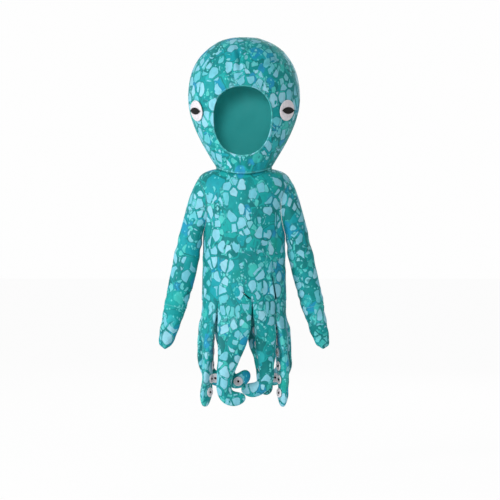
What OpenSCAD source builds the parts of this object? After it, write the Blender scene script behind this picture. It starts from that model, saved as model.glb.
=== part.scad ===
// Child's octopus costume: a padded hood with an oval face opening, a long-sleeved tunic with mitts
// and a back zip, and eight stuffed tentacles with suckers hanging from the hem.
// Millimetres. The origin is the middle of the neck opening, +Z is up and the front faces -Y.

/* [Hood] */
// Widest width of the hood
hood_w = 320; // [270:1:390]
// Depth of the hood from front to back
hood_d = 290; // [250:1:350]
// Height of the hood's top above the neck opening
hood_top = 374; // [320:1:450]
// Height of the hood's widest place
hood_wide_z = 205; // [175:1:225]
// How far the bulb leans back
hood_lean = 15; // [0:1:25]
// Width of the face opening
face_w = 180; // [150:1:190]
// Height of the face opening
face_h = 195; // [160:1:210]
// Height of the middle of the face opening
face_z = 126; // [122:1:140]
// Side shift of the face opening
face_x = -4; // [-12:1:12]
// Thickness of the foam that keeps the crown round
pad_t = 12; // [6:1:18]
// Diameter of an eye
eye_d = 57; // [45:1:68]
// Height of the eyes
eye_z = 158; // [145:1:180]
// Thickness of an eye
eye_t = 8; // [5:1:12]

/* [Tunic] */
// Radius of the neck opening
neck_r = 66; // [58:1:74]
// How far the hood's hem lies outside the neck opening
hood_over = 12; // [8:1:20]
// Half width of the tunic at the chest
chest_w = 128; // [115:1:150]
// Half width of the tunic at the waist
waist_w = 117; // [105:1:128]
// Half width of the tunic at the hem
hip_w = 121; // [105:1:145]
// Half depth of the tunic
body_d = 86; // [78:1:103]
// Depth of the hem below the neck opening
hem_z = 377; // [320:1:450]
// Depth of the armpit below the neck opening
armpit_z = 185; // [160:1:215]
// Cloth thickness
cloth_t = 2; // [1.4:0.1:2.4]

/* [Sleeves] */
// Distance of the wrist from the middle
wrist_x = 196; // [185:1:235]
// Depth of the wrist below the neck opening
wrist_z = 395; // [330:1:470]
// Half width of the mitt at the wrist
wrist_w = 31; // [26:1:37]
// Half depth of the mitt at the wrist
wrist_d = 22; // [18:1:26]
// Length of the mitt below the wrist
mitt_l = 125; // [105:1:150]

/* [Zip] */
// Depth of the slider below the neck opening when the zip is shut
zip_top = 56; // [52:1:80]
// Travel of the slider
zip_run = 240; // [150:1:250]

/* [Tentacles] */
// Thickness of a tentacle where it is fullest
tentacle_t = 30; // [24:1:36]
// Width of a tentacle near its tip
tip_w = 44; // [34:1:48]
// Length of the shortest tentacle along its middle
tentacle_l = 280; // [235:1:340]
// Diameter of a sucker
sucker_d = 27; // [20:1:30]
// Thickness of a sucker
sucker_t = 3; // [2:0.5:5]
// Distance between suckers
sucker_pitch = 38; // [33:1:46]

/* [Hidden] */
SIDES = ["left", "right"];
ARMS = ["front_left", "front_right", "right_front", "right_back",
        "back_right", "back_left", "left_back", "left_front"];

gap = 0.35;          // running gap between two pieces
seam_deg = 0.16;     // half the gap at a side seam, as an angle round the body
blue = [0.10, 0.62, 0.62];
lining_blue = [0.16, 0.53, 0.53];

// ---- shared functions ----
function mix(a, b, k) = a + (b - a) * k;
function unit(v) = v / norm(v);
function ramp(k) = let (c = min(1, max(0, k))) c * c * (3 - 2 * c);
function full(x, p) = abs(x) < 0.000001 ? 0 : sign(x) * pow(abs(x), p);
function bezier(a, b, c, k) = a * (1 - k) * (1 - k) + b * 2 * k * (1 - k) + c * k * k;
function back(list) = [for (i = [len(list) - 1:-1:0]) list[i]];
function column(grid, j) = [for (row = grid) row[j]];
function far(p, q) = norm(p - q) > 0.0001;

// Triangles of a grid of m loops with n points each; flat strips close the ends of an open one.
function strip_ends(i, n, turn) = [for (k = [0:floor(n / 2) - 2])
    let (a = i * n + k, b = i * n + k + 1, c = i * n + n - 2 - k, d = i * n + n - 1 - k)
    each (turn ? [[a, b, c], [a, c, d]] : [[a, c, b], [a, d, c]])];
function loop_faces(m, n, ring) = [for (i = [0:(ring ? m - 1 : m - 2)], j = [0:n - 1])
    let (a = i * n + j, b = i * n + (j + 1) % n, c = ((i + 1) % m) * n + (j + 1) % n, d = ((i + 1) % m) * n + j)
    each [[a, b, c], [a, c, d]]];
module loft(loops, ring = false, flip = false) {
    m = len(loops);
    n = len(loops[0]);
    points = [for (l = loops) each l];
    ends = ring ? [] : concat(strip_ends(0, n, false), strip_ends(m - 1, n, true));
    faces = [for (f = concat(loop_faces(m, n, ring), ends))
        if (far(points[f[0]], points[f[1]]) && far(points[f[1]], points[f[2]]) && far(points[f[2]], points[f[0]]))
            flip ? [f[0], f[2], f[1]] : f];
    polyhedron(points, faces);
}
// A sheet between an outer and an inner grid, rows down and columns anticlockwise from above.
module sheet(outer, inner) loft([for (i = [0:len(outer) - 1]) concat(outer[i], back(inner[i]))]);
// A tube wall between an outer and an inner grid whose rows are closed rings.
module tube(outer, inner, flip = true) loft([for (j = [0:len(outer[0]) - 1])
    concat(column(outer, j), back(column(inner, j)))], ring = true, flip = flip);

// ---- hood ----
hood_hem_r = neck_r + hood_over;
crown = 2.2;         // roundness of the hood's upper half
hem_dip = 17;        // the front of the hood's hem hangs this much lower than its sides
hem_lift = 2.6;      // depth of the hood's hem at its sides
hem_turn = 150;      // outline angle at which the side seam meets the hem
lining_lift = 14;    // the linings end this far above the hem, over the elastic
function hood_size(z, widest, neck, off) = z >= hood_wide_z
    ? (widest - off) * pow(max(0, 1 - pow((z - hood_wide_z) / (hood_top - hood_wide_z - off), crown)), 1 / crown)
    : neck - off + (widest - neck) * cos(90 * min(1, (hood_wide_z - z) / hood_wide_z));
function hood_wide(z, off) = hood_size(z, hood_w / 2, hood_hem_r, off);
function hood_deep(z, off) = hood_size(z, hood_d / 2, hood_hem_r, off);
function hood_mid(z) = z >= hood_wide_z ? hood_lean : hood_lean * cos(90 * min(1, (hood_wide_z - z) / hood_wide_z));
function hood_hem(a) = -hem_lift - (cos(a) > 0 ? hem_dip * pow(cos(a), 2) : 0);
// Outline seen from the front, by an angle t that runs from the top, 0, down the right side.
function outline(t, off, lift) = let (r = t > 180 ? 360 - t : t, f = (r - 90) / (hem_turn - 90),
        a = 90 * (180 - r) / (180 - hem_turn), side = t > 180 ? -1 : 1)
    r <= 90 ? [side * (hood_w / 2 - off) * pow(sin(r), 2 / crown),
               hood_wide_z + (hood_top - hood_wide_z - off) * pow(cos(r), 2 / crown)]
    : r <= hem_turn ? let (z = mix(hood_wide_z, hood_hem(90) + lift, f)) [side * hood_wide(z, off), z]
    : [side * (hood_hem_r - off) * sin(a), hood_hem(a) + lift];
face_square = 0.88;  // below 1 squares the face opening off
function face_edge(t, grow) = [face_x + (face_w / 2 + grow) * full(sin(t), face_square) * (1 - 0.14 * (1 - cos(t)) / 2),
                               face_z + (face_h / 2 + grow) * full(cos(t), face_square)];
function hood_point(p, off) = let (w = max(0.001, hood_wide(p[1], off)), s = min(1, max(-1, p[0] / w)))
    [p[0], hood_mid(p[1]) - hood_deep(p[1], off) * sqrt(1 - s * s), p[1]];
function hood_front(t, k, off, lift, grow) = hood_point(mix(face_edge(t, grow), outline(t, off, lift), sin(90 * k)), off);
function hood_back(t, a, off, lift) = let (z = outline(t, off, lift)[1])
    [hood_wide(z, off) * sin(a), hood_mid(z) - hood_deep(z, off) * cos(a), z];
FRONT_T = concat([for (t = [0:7.5:hem_turn - 7.5]) t], [for (t = [hem_turn:3.75:360 - hem_turn]) t],
                 [for (t = [360 - hem_turn + 7.5:7.5:352.5]) t]);
BACK_T = [for (t = [0:10:90]) t, for (t = [100:10:hem_turn]) t];
function front_grid(off, lift, grow, side) = [for (k = [0:8]) [for (t = FRONT_T)
    let (p = hood_front(t, k / 8, off, lift, grow)) k == 8 ? p - [0, side, 0] : p]];
function back_grid(off, lift, side, last) = [for (t = BACK_T) if (t <= last)
    [for (j = [0:18]) hood_back(t, mix(90 + side, 270 - side, j / 18), off, lift)]];
// A point on the hood's outside at height z and angle a, and the heading of its normal.
function hood_at(z, a) = [hood_wide(z, 0) * sin(a), hood_mid(z) - hood_deep(z, 0) * cos(a), z];
function hood_heading(z, a) = atan2(sin(a) / hood_wide(z, 0), cos(a) / hood_deep(z, 0));
function hood_tilt(z, a) = let (h = hood_heading(z, a)) atan((hood_at(z + 1, a) - hood_at(z - 1, a)) * [sin(h), -cos(h), 0] / 2);

seam_gap = 0.45;
module hood_front_panel() color(blue)
    tube(front_grid(0, 0, 0, seam_gap), front_grid(cloth_t, 0, 0, seam_gap), flip = false);
module hood_back_panel() color(blue) sheet(back_grid(0, 0, seam_deg, 150), back_grid(cloth_t, 0, seam_deg, 150));
lining_out = cloth_t + 0.9;
lining_in = lining_out + 1.2;
module hood_front_lining() color(lining_blue)
    tube(front_grid(lining_out, lining_lift, 2, seam_gap), front_grid(lining_in, lining_lift, 2, seam_gap), flip = false);
pad_out = cloth_t + 0.5;
module hood_crown_pad() color("white")
    sheet(back_grid(pad_out, 0, seam_deg * 2, 120), back_grid(pad_out + pad_t, 0, seam_deg * 2, 120));
module hood_back_lining() color(lining_blue)
    sheet(back_grid(pad_out + pad_t + 0.5, lining_lift, seam_deg * 2, 150),
          back_grid(pad_out + pad_t + 1.7, lining_lift, seam_deg * 2, 150));
binding_w = 3;
binding_deep = 7;
module face_opening_binding() color(blue)
    loft([for (t = FRONT_T) let (o = face_edge(t, -gap), i = face_edge(t, -gap - binding_w),
        y = hood_point(face_edge(t, 0), 0)[1])
        [[o[0], y - 1, o[1]], [i[0], y - 1, i[1]], [i[0], y + binding_deep, i[1]], [o[0], y + binding_deep, o[1]]]],
        ring = true);
elastic_h = 8;
elastic_gap = 0.75;
function elastic_rows(off) = [for (up = [elastic_h + 2, 2]) [for (a = [0:10:350])
    let (r = hood_hem_r - cloth_t - elastic_gap - off) [r * sin(a), -r * cos(a), hood_hem(a) + up]]];
module hood_hem_elastic() color("white") tube(elastic_rows(0), elastic_rows(1.2));

// Eyes: padded discs, each with a flat black lens-shaped pupil.
EYE_A = [-58.5, 50.5];
pupil_w = 44;
pupil_h = 18.5;
pupil_t = 1.6;
module on_hood(a) translate(hood_at(eye_z, a)) 
    rotate([90 + hood_tilt(eye_z, a), 0, hood_heading(eye_z, a)]) children();
module eye_white(a) color("white") on_hood(a) translate([0, 0, gap]) rotate_extrude($fn = 48)
    polygon([[0, 0], [eye_d / 2 - 1, 0], [eye_d / 2, eye_t * 0.35], [eye_d / 2 - 2, eye_t * 0.75],
             [eye_d / 2 - 6, eye_t], [0, eye_t]]);
module pupil(a) let (r = (pow(pupil_w / 2, 2) + pow(pupil_h / 2, 2)) / pupil_h)
    color("black") on_hood(a) translate([0, 0, gap + eye_t]) linear_extrude(pupil_t) intersection() {
        translate([0, r - pupil_h / 2]) circle(r, $fn = 96);
        translate([0, pupil_h / 2 - r]) circle(r, $fn = 96);
    }

// ---- tunic ----
scoop = 12;          // the neckline hangs this much lower at the front
shoulder_out = 160;  // pull of the shoulder curve
curve_z = 90;        // depth at which the shoulder curve ends, and at the back
curve_back_z = 48;
function behind(a) = pow(max(0, -cos(a)), 2);
function ahead(a) = pow(max(0, cos(a)), 2);
function neck_point(a) = [neck_r * sin(a), -neck_r * cos(a), -2 - scoop * ahead(a)];
function pull_point(a) = [(shoulder_out + chest_w - 128) * sin(a), -(body_d - 6 + 6 * behind(a)) * cos(a), -8 - 24 * ahead(a)];
function body_wide(z) = z > -armpit_z ? mix(waist_w, chest_w, pow((z + armpit_z) / (armpit_z - curve_z), 2))
    : mix(waist_w, hip_w, pow((-armpit_z - z) / (hem_z - armpit_z), 1.5));
function body_point(a, z) = [body_wide(z) * sin(a), -body_d * cos(a), z];
function curve_end(a) = -mix(curve_z, curve_back_z, behind(a));
// The tunic's outside: q runs 0 to 1 over the shoulder curve, and 1 to 2 down to the hem.
function tunic(a, q) = q <= 1 ? bezier(neck_point(a), pull_point(a), body_point_at(a), q)
    : body_point(a, mix(curve_end(a), -hem_z, q - 1));
function body_point_at(a) = let (z = curve_end(a)) [chest_w * sin(a), -body_d * cos(a), z];
function tunic_normal(a, q) = let (e = 0.01, lo = max(0, q - e))
    unit(cross(tunic(a, q + e > 2 ? 2 : q + e) - tunic(a, lo), tunic(a + 1, q) - tunic(a - 1, q)));
function tunic_in(a, q, off) = tunic(a, q) - tunic_normal(a, q) * off;
tip_q = 0.55;                                        // shoulder tip
pit_q = 1 + (armpit_z - curve_z) / (hem_z - curve_z); // armpit
arm_a = 34;                                          // half width of the armhole, as an angle
ARM_F = [for (f = [0:15:180]) f];
function arm_q(f) = mix(tip_q, pit_q, (1 - cos(f)) / 2);
// Rows of the tunic: depth value q and how far the armhole cuts in from the side seam.
ROWS = concat([for (q = [0, 0.14, 0.28, 0.42]) [q, 0]], [for (f = ARM_F) [arm_q(f), arm_a * sin(f)]],
              [for (i = [1:7]) [mix(pit_q, 2, i / 7), 0]]);
function panel(from, to, n, off) = [for (r = ROWS) [for (j = [0:n])
    tunic_in(mix(from[0] + from[1] * r[1], to[0] + to[1] * r[1], j / n), r[0], off)]];
module tunic_panel(from, to, n) color(blue) sheet(panel(from, to, n, 0), panel(from, to, n, cloth_t));
zip_edge = 5.5;      // half the gap for the zip, as an angle
module tunic_front_panel() tunic_panel([-90 + seam_deg, 1], [90 - seam_deg, -1], 18);
module tunic_back_right_panel() tunic_panel([90 + seam_deg, 1], [180 - zip_edge, 0], 9);
module tunic_back_left_panel() tunic_panel([180 + zip_edge, 0], [270 - seam_deg, -1], 9);

binding_t = 2.5;
binding_gap = 1.6;
module neckline_binding() color(blue) loft([for (a = [-172:8:172])
    let (p = neck_point(a), r = neck_r - binding_gap, s = r - binding_t, dir = [sin(a), -cos(a)])
    [[r * dir[0], r * dir[1], p[2] + 1.5], [s * dir[0], s * dir[1], p[2] + 1.5],
     [s * dir[0], s * dir[1], p[2] - 7], [r * dir[0], r * dir[1], p[2] - 7]]], flip = true);
loop_r = 13;
loop_a = 156;
module hang_loop() color(lining_blue) let (r = neck_r - binding_gap - binding_t - gap)
    rotate([0, 0, loop_a - 180]) translate([0, r - 2.9, -6]) rotate([90, 0, 0])
    rotate_extrude(angle = 180, $fn = 48) translate([loop_r - 1.6, -1.5]) square([1.6, 3]);

// ---- zip ----
tape_y = body_d - cloth_t - 2.8;
tape_t = 1.2;
tape_in = 3.1;
tape_w = 14;
tooth_pitch = 4;
chain_top = -zip_top + 8;
chain_l = zip_run + 16;
stop_h = 5;
stop_low = chain_top - chain_l - stop_h - gap;
tape_gap = 0.4;
// The tapes' ends close the slit above and below the teeth, as shares of the tunic's depth.
TAPE_ENDS = [[0.4, 0.9], [1 + (-stop_low + 1 - curve_back_z) / (hem_z - curve_back_z), 2]];
module tape_end(s, e) sheet(
    [for (i = [0:4]) [for (j = [0:2]) tunic_in(180 + s * 4.3 + 4.15 * (j - 1), mix(e[0], e[1], i / 4), cloth_t + tape_gap)]],
    [for (i = [0:4]) [for (j = [0:2]) tunic_in(180 + s * 4.3 + 4.15 * (j - 1), mix(e[0], e[1], i / 4), cloth_t + tape_gap + tape_t)]]);
module zip_tapes() color(lining_blue) for (s = [-1, 1]) {
    translate([s > 0 ? tape_in : -tape_in - tape_w, tape_y, chain_top - chain_l]) cube([tape_w, tape_t, chain_l]);
    for (e = TAPE_ENDS) tape_end(s, e);
}
module zip_teeth() color("silver") for (s = [-1, 1], i = [0:floor(chain_l / tooth_pitch) - 1])
    translate([s > 0 ? 0.2 : -tape_in, tape_y, chain_top - (i + 1) * tooth_pitch + (s > 0 ? 0 : tooth_pitch / 2)])
        cube([tape_in - 0.2, 3.4, tooth_pitch * 0.45]);
slider_y = tape_y + 3.4 + gap;
module zip_stops() color("silver") for (z = [chain_top + gap, stop_low])
    translate([-tape_in - 1, tape_y, z]) cube([2 * tape_in + 2, 3.4, stop_h]);
slider_h = 12;
slider_t = 2.4;
pin_up = 5;          // the pull's pin stands this far off the slider's back
lug_h = 4;
lug_t = 1.6;
lug_x = 3.2;
pull_pin_r = 0.9;
module zip_slider() color("silver") {
    translate([-5, slider_y, -zip_top - slider_h / 2]) cube([10, slider_t, slider_h]);
    for (s = [-1, 1]) translate([s > 0 ? lug_x - lug_t : -lug_x, slider_y + slider_t, -zip_top - 2]) cube([lug_t, lug_h, 4]);
    translate([-lug_x, slider_y + pin_up, -zip_top]) rotate([0, 90, 0]) cylinder(h = 2 * lug_x, r = pull_pin_r, $fn = 24);
}
pull_l = 26;
module zip_pull() color("silver") translate([0, slider_y + pin_up, -zip_top]) rotate([0, 90, 0])
    translate([0, 0, -(lug_x - lug_t - gap)]) linear_extrude(2 * (lug_x - lug_t - gap)) difference() {
        union() {
            circle(2.2, $fn = 32);
            translate([0, -1]) square([pull_l, 2]);
        }
        circle(pull_pin_r + 0.15, $fn = 32);
    }

// ---- sleeves and mitts ----
arm_lean = atan2(wrist_x - 131, wrist_z - 110);      // slope of the arm from the vertical
arm_down = [sin(arm_lean), 0, -cos(arm_lean)];
arm_out = [cos(arm_lean), 0, sin(arm_lean)];
wrist = [wrist_x, 0, -wrist_z];
cuff_up = 7;                                         // the sleeve ends this far above the wrist's hinge
cuff_gap = 0.9;
shoulder = tunic(90, tip_q);
armpit = tunic(90, pit_q);
cuff_w = wrist_w * sqrt(1 - pow(cuff_up / wrist_d, 2)) + cuff_gap + cloth_t;
cuff_d = sqrt(pow(wrist_d + cuff_gap, 2) - cuff_up * cuff_up) + cloth_t;
sleeve_end = wrist - arm_down * cuff_up;
arm_cut = 0.25;                                      // share of the sleeve that turns from armhole to tube
function sleeve_out(s) = bezier(shoulder, shoulder + [39, 0, -68], sleeve_end + arm_out * cuff_w, s);
function sleeve_in(s) = bezier(armpit + [1.5, 0, -2], armpit + [5, 0, -77], sleeve_end - arm_out * cuff_w, s);
function sleeve_point(s, f, off) = let (o = sleeve_out(s), i = sleeve_in(s), h = norm(o - i) / 2,
        e = (o + i) / 2 + unit(o - i) * cos(f) * (h - off)
            - [0, 1, 0] * sin(f) * (mix(body_d * 0.56, cuff_d, pow(s, 0.8)) - off),
        a = 90 - arm_a * sin(f), q = arm_q(f > 180 ? 360 - f : f))
    mix(e, tunic_in(a, q, off) + [gap, 0, 0], pow(max(0, 1 - s / arm_cut), 2));
RING_F = [for (f = [0:15:345]) f];
function sleeve_grid(off) = [for (s = [0, 0.06, 0.12, 0.19, 0.26, 0.35, 0.45, 0.56, 0.67, 0.78, 0.89, 1])
    [for (f = RING_F) sleeve_point(s, f, off)]];
function arm_ring(e, shift, w, d) = [for (f = RING_F)
    wrist + arm_down * e + arm_out * (shift + w * cos(f)) - [0, 1, 0] * d * sin(f)];
cuff_top = 14;                                       // the mitt's rim lies this far inside the sleeve
function mitt_ring(e, off) = let (k = max(0, e) / (mitt_l - off), c = min(0, e) / wrist_d,
        w = e < 0 ? wrist_w * sqrt(1 - c * c) : wrist_w * (1 - 0.3 * k) * sqrt(max(0, 1 - pow(k, 8))),
        d = e < 0 ? wrist_d * sqrt(1 - c * c) : wrist_d * (1 - 0.25 * k) * sqrt(max(0, 1 - pow(k, 5))))
    arm_ring(e, 5 * k, max(0, w - off), max(0, d - off));
function mitt_grid(off) = [for (e = [-cuff_top, -7, 0, 0.16, 0.33, 0.5, 0.66, 0.8, 0.9, 0.96, 0.99])
    mitt_ring(e < 0 ? e : e * (mitt_l - off), off)];
function mitt_tip(off) = [for (f = RING_F) wrist + arm_down * (mitt_l - off) + arm_out * 5];
module sided(s) mirror([s == "left" ? 1 : 0, 0, 0]) children();
module sleeve(s) color(blue) sided(s) tube(sleeve_grid(0), sleeve_grid(cloth_t));
elastic_s = [0.86, 0.9];
module wrist_elastic(s) color("white") sided(s)
    tube([for (k = elastic_s) [for (f = RING_F) sleeve_point(k, f, cloth_t + gap + 0.25)]],
         [for (k = elastic_s) [for (f = RING_F) sleeve_point(k, f, cloth_t + gap + 1.3)]]);
module mitt(s) color(blue) sided(s)
    tube(concat(mitt_grid(0), [mitt_tip(0)]), concat(mitt_grid(cloth_t), [mitt_tip(cloth_t)]));

// ---- tentacles ----
// Slits in the hem, as angles round the body from the front, and one row for each tentacle: twist,
// the heading of its flat side at the tip; sway and curl, its bends in degrees; start, where the curl
// starts; longer, its extra length; flare, how far it stands out; shift, how far it moves front to back;
// and the shares of its length at which the twist starts and over which it runs.
SLITS = [-40, 12, 49, 95, 140, 182, 226, 272, 320];
//        twist sway curl start longer flare shift twist's start and run
BENDS = [[0,   -13,  122, 0.71,  44, 6, -8, 0.1, 0.6],
         [0,     2, -108, 0.63,  26, 6, 26, 0.1, 0.6],
         [118,   0,    8, 0.70,  24, 3,  0, 0.1, 0.6],
         [180,  -6,  100, 0.62,  -8, 6,  0, 0.1, 0.6],
         [180,  -8,  -14, 0.60,   0, 8,  0, 0.1, 0.6],
         [180,   0, -165, 0.66,  20, 8,  0, 0.1, 0.6],
         [180,   0, -100, 0.62,  -6, 4,  6, 0.1, 0.8],
         [234,   4,   14, 0.62,  20, 2,  0, 0.2, 0.7]];
root_t = 14;
function slit_mid(k) = (SLITS[k] + SLITS[k + 1]) / 2;
function hem_point(a) = body_point(a, -hem_z);
function hem_heading(a) = let (h = atan2(body_d * sin(a), hip_w * cos(a))) h < -90 ? h + 360 : (a > 180 && h < 90 ? h + 360 : h);
function hem_out(a) = unit([sin(a) / hip_w, -cos(a) / body_d, 0]);
function twist(k, t) = mix(hem_heading(slit_mid(k)), BENDS[k][0], ramp((t - BENDS[k][7]) / BENDS[k][8]));
function bend(k, t) = BENDS[k][1] * sin(180 * min(1, max(0, (t - 0.2) / 0.6)))
    + BENDS[k][2] * ramp((t - BENDS[k][3]) / (1 - BENDS[k][3]));
function heading(k, t) = [cos(twist(k, t)), sin(twist(k, t)), 0];
function travel(k, t) = heading(k, t) * sin(bend(k, t)) - [0, 0, 1] * cos(bend(k, t));
function across(k, t) = heading(k, t) * cos(bend(k, t)) + [0, 0, 1] * sin(bend(k, t));
function facing(k, t) = [sin(twist(k, t)), -cos(twist(k, t)), 0];
function arm_length(k) = tentacle_l + BENDS[k][4];
path_n = 28;
function middle_path(k) = let (a = slit_mid(k), n = path_n)
    [for (i = 0, p = hem_point(a) - hem_out(a) * root_t / 2 - [0, 0, gap]; i <= n;
          p = p + travel(k, (i + 0.5) / n) * arm_length(k) / n, i = i + 1)
        p + (hem_out(a) * BENDS[k][5] + [0, BENDS[k][6], 0]) * ramp(i / n / 0.7)];
function width_at(k, t) = let (root = norm(hem_point(SLITS[k + 1]) - hem_point(SLITS[k])))
    mix(root * 0.96, tip_w, ramp((t - 0.12) / 0.62)) * (t > 0.86 ? sqrt(max(0, 1 - pow((t - 0.86) / 0.14, 2.6))) : 1);
function thick_at(t) = mix(root_t, tentacle_t, ramp(t / 0.4)) * (1 - 0.2 * ramp((t - 0.5) / 0.4))
    * (t > 0.86 ? sqrt(max(0, 1 - pow((t - 0.86) / 0.14, 2.6))) : 1);
ARM_N = 12;
root_gap = 0.35;     // half the slit's width, as an angle
function along(path, t) = let (i = min(path_n - 1, floor(t * path_n))) mix(path[i], path[i + 1], t * path_n - i);
function arm_ring_at(k, t, off, path) = let (c = along(path, t), w = width_at(k, t) / 2 - off, h = thick_at(t) / 2 - off,
        half = (SLITS[k + 1] - SLITS[k]) / 2 - root_gap, flat = ramp(t / 0.32))
    [for (j = [0:ARM_N - 1]) let (f = 360 * j / ARM_N, x = full(cos(f), 0.8), y = full(sin(f), 0.8),
        a = slit_mid(k) + half * x * (1 - off / 42),
        p = hem_point(a) + hem_out(a) * ((root_t / 2 - off) * y - root_t / 2) + c - path[0] - [0, 0, gap],
        q = c + across(k, t) * cos(f) * max(0, w) + facing(k, t) * sin(f) * max(0, h))
        mix(p, q, flat)];
ARM_T = [0, 0.07, 0.14, 0.22, 0.3, 0.38, 0.46, 0.54, 0.62, 0.7, 0.78, 0.86, 0.92, 0.97, 1];
skin_t = 1.6;
function skin_grid(k, off) = let (path = middle_path(k)) [for (t = ARM_T) arm_ring_at(k, t, off, path)];
function tip_in(k) = let (p = along(middle_path(k), 1) - travel(k, 1) * skin_t) [for (j = [1:ARM_N]) p];
module tentacle_skin(k) let (inner = skin_grid(k, skin_t)) color(blue)
    tube(skin_grid(k, 0), concat([for (i = [0:len(inner) - 2]) inner[i]], [tip_in(k)]));
stuffing_gap = 0.5;
module tentacle_stuffing(k) color("white") let (path = middle_path(k))
    loft(back([for (t = ARM_T) if (t > 0 && t < 0.96) arm_ring_at(k, t, skin_t + stuffing_gap, path)]));
suckers = 5;
function sucker_share(k, i) = 0.86 - i * sucker_pitch / arm_length(k);
sucker_gap = 0.55;
// The inner face's slope against the middle line, so that a sucker lies flat on it.
function face_slope(k, t) = let (path = middle_path(k), d = sucker_d / 2 / arm_length(k),
    v = along(path, t + d) - along(path, t - d) - facing(k, t) * (thick_at(t + d) - thick_at(t - d)) / 2)
    atan2(-v * facing(k, t), v * travel(k, t));
module on_inner_face(k, t, lift) translate(along(middle_path(k), t) - facing(k, t) * thick_at(t) / 2)
    rotate(a = face_slope(k, t), v = across(k, t)) rotate([-90, 0, twist(k, t)]) translate([0, 0, lift]) children();
module sucker_set(k) color("white") for (i = [0:suckers - 1])
    on_inner_face(k, sucker_share(k, i), sucker_gap) cylinder(h = sucker_t, d = sucker_d, $fn = 40);
dot_d = 6.5;
dot_t = 1.2;
module dot_set(k) color("black") for (i = [0:suckers - 1])
    on_inner_face(k, sucker_share(k, i), sucker_gap + sucker_t) cylinder(h = dot_t, d = dot_d, $fn = 24);

hood_front_panel();
hood_back_panel();
hood_front_lining();
hood_back_lining();
hood_crown_pad();
face_opening_binding();
hood_hem_elastic();
eye_white(EYE_A[0]);  // left_eye_white
eye_white(EYE_A[1]);  // right_eye_white
pupil(EYE_A[0]);  // left_pupil
pupil(EYE_A[1]);  // right_pupil
tunic_front_panel();
tunic_back_left_panel();
tunic_back_right_panel();
neckline_binding();
hang_loop();
zip_tapes();
zip_teeth();
zip_stops();
zip_slider();
zip_pull();
for (s = SIDES) {
    sleeve(s);
    wrist_elastic(s);
    mitt(s);
}
for (k = [0:len(ARMS) - 1]) {
    tentacle_skin(k);
    tentacle_stuffing(k);
    sucker_set(k);
    dot_set(k);
}
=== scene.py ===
import math

import bmesh
import bpy
from mathutils import Matrix, Vector, noise
from mathutils.kdtree import KDTree


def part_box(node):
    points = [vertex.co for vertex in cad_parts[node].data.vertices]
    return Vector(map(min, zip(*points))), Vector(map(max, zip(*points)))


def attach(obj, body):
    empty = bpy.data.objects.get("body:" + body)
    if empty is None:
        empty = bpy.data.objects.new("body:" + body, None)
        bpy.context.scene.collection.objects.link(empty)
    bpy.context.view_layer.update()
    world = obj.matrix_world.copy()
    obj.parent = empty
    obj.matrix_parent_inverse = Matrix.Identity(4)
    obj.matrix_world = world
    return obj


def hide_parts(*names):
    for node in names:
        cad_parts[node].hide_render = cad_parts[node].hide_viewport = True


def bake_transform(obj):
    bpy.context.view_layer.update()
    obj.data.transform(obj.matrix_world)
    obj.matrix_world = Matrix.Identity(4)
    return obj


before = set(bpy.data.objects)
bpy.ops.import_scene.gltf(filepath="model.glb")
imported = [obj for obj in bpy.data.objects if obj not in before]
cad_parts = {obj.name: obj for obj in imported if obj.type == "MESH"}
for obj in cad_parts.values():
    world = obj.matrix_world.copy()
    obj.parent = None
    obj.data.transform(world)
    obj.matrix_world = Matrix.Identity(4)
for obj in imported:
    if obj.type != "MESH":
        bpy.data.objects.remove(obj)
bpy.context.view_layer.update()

# ---------------- sizes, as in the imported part
FRONT_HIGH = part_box("hood_front_panel")[1]
BACK_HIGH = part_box("hood_back_panel")[1]
HEM_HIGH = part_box("hood_hem_elastic")[1]
TUNIC_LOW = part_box("tunic_front_panel")[0]

HOOD_W = FRONT_HIGH.x                       # half width of the hood
HOOD_TOP = FRONT_HIGH.z
HOOD_D = 0.145                              # half depth of the hood
HOOD_WIDE_Z = 0.205                         # height of its widest place
HOOD_LEAN = BACK_HIGH.y - HOOD_D            # the bulb leans back this much
HEM_R = HEM_HIGH.x + 0.00275                # radius of the hood's hem
CROWN = 2.2                                 # roundness of the upper half
HEM_DIP, HEM_LIFT, HEM_TURN = 0.017, 0.0026, 150
FACE_X, FACE_Z, FACE_W, FACE_H = -0.004, 0.126, 0.180, 0.195
FACE_SQUARE = 0.88
EYE_Z, EYE_A, EYE_R, EYE_T = 0.158, (-58.5, 50.5), 0.0285, 0.008

NECK_R, SCOOP = 0.066, 0.012
CHEST_W, WAIST_W, HIP_W, BODY_D = 0.128, 0.117, 0.121, 0.086
HEM_Z = -TUNIC_LOW.z                        # the tunic's hem lies this far down
ARMPIT_Z, CURVE_Z, CURVE_BACK_Z = 0.185, 0.09, 0.048
SHOULDER_OUT = 0.160
TIP_Q = 0.55
PIT_Q = 1 + (ARMPIT_Z - CURVE_Z) / (HEM_Z - CURVE_Z)
ARM_A = 34                                  # half width of an armhole, in degrees round the body
ZIP_EDGE = 5.5                              # half the gap for the zip, in degrees

WRIST = Vector((0.196, 0, -0.395))
WRIST_W, WRIST_D, MITT_L = 0.031, 0.022, 0.125
ARM_LEAN = math.atan2(0.196 - 0.131, 0.395 - 0.110)
ARM_DOWN = Vector((math.sin(ARM_LEAN), 0, -math.cos(ARM_LEAN)))
ARM_OUT = Vector((math.cos(ARM_LEAN), 0, math.sin(ARM_LEAN)))

ARMS = ("front_left", "front_right", "right_front", "right_back",
        "back_right", "back_left", "left_back", "left_front")
SLITS = (-40, 12, 49, 95, 140, 182, 226, 272, 320)
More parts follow.
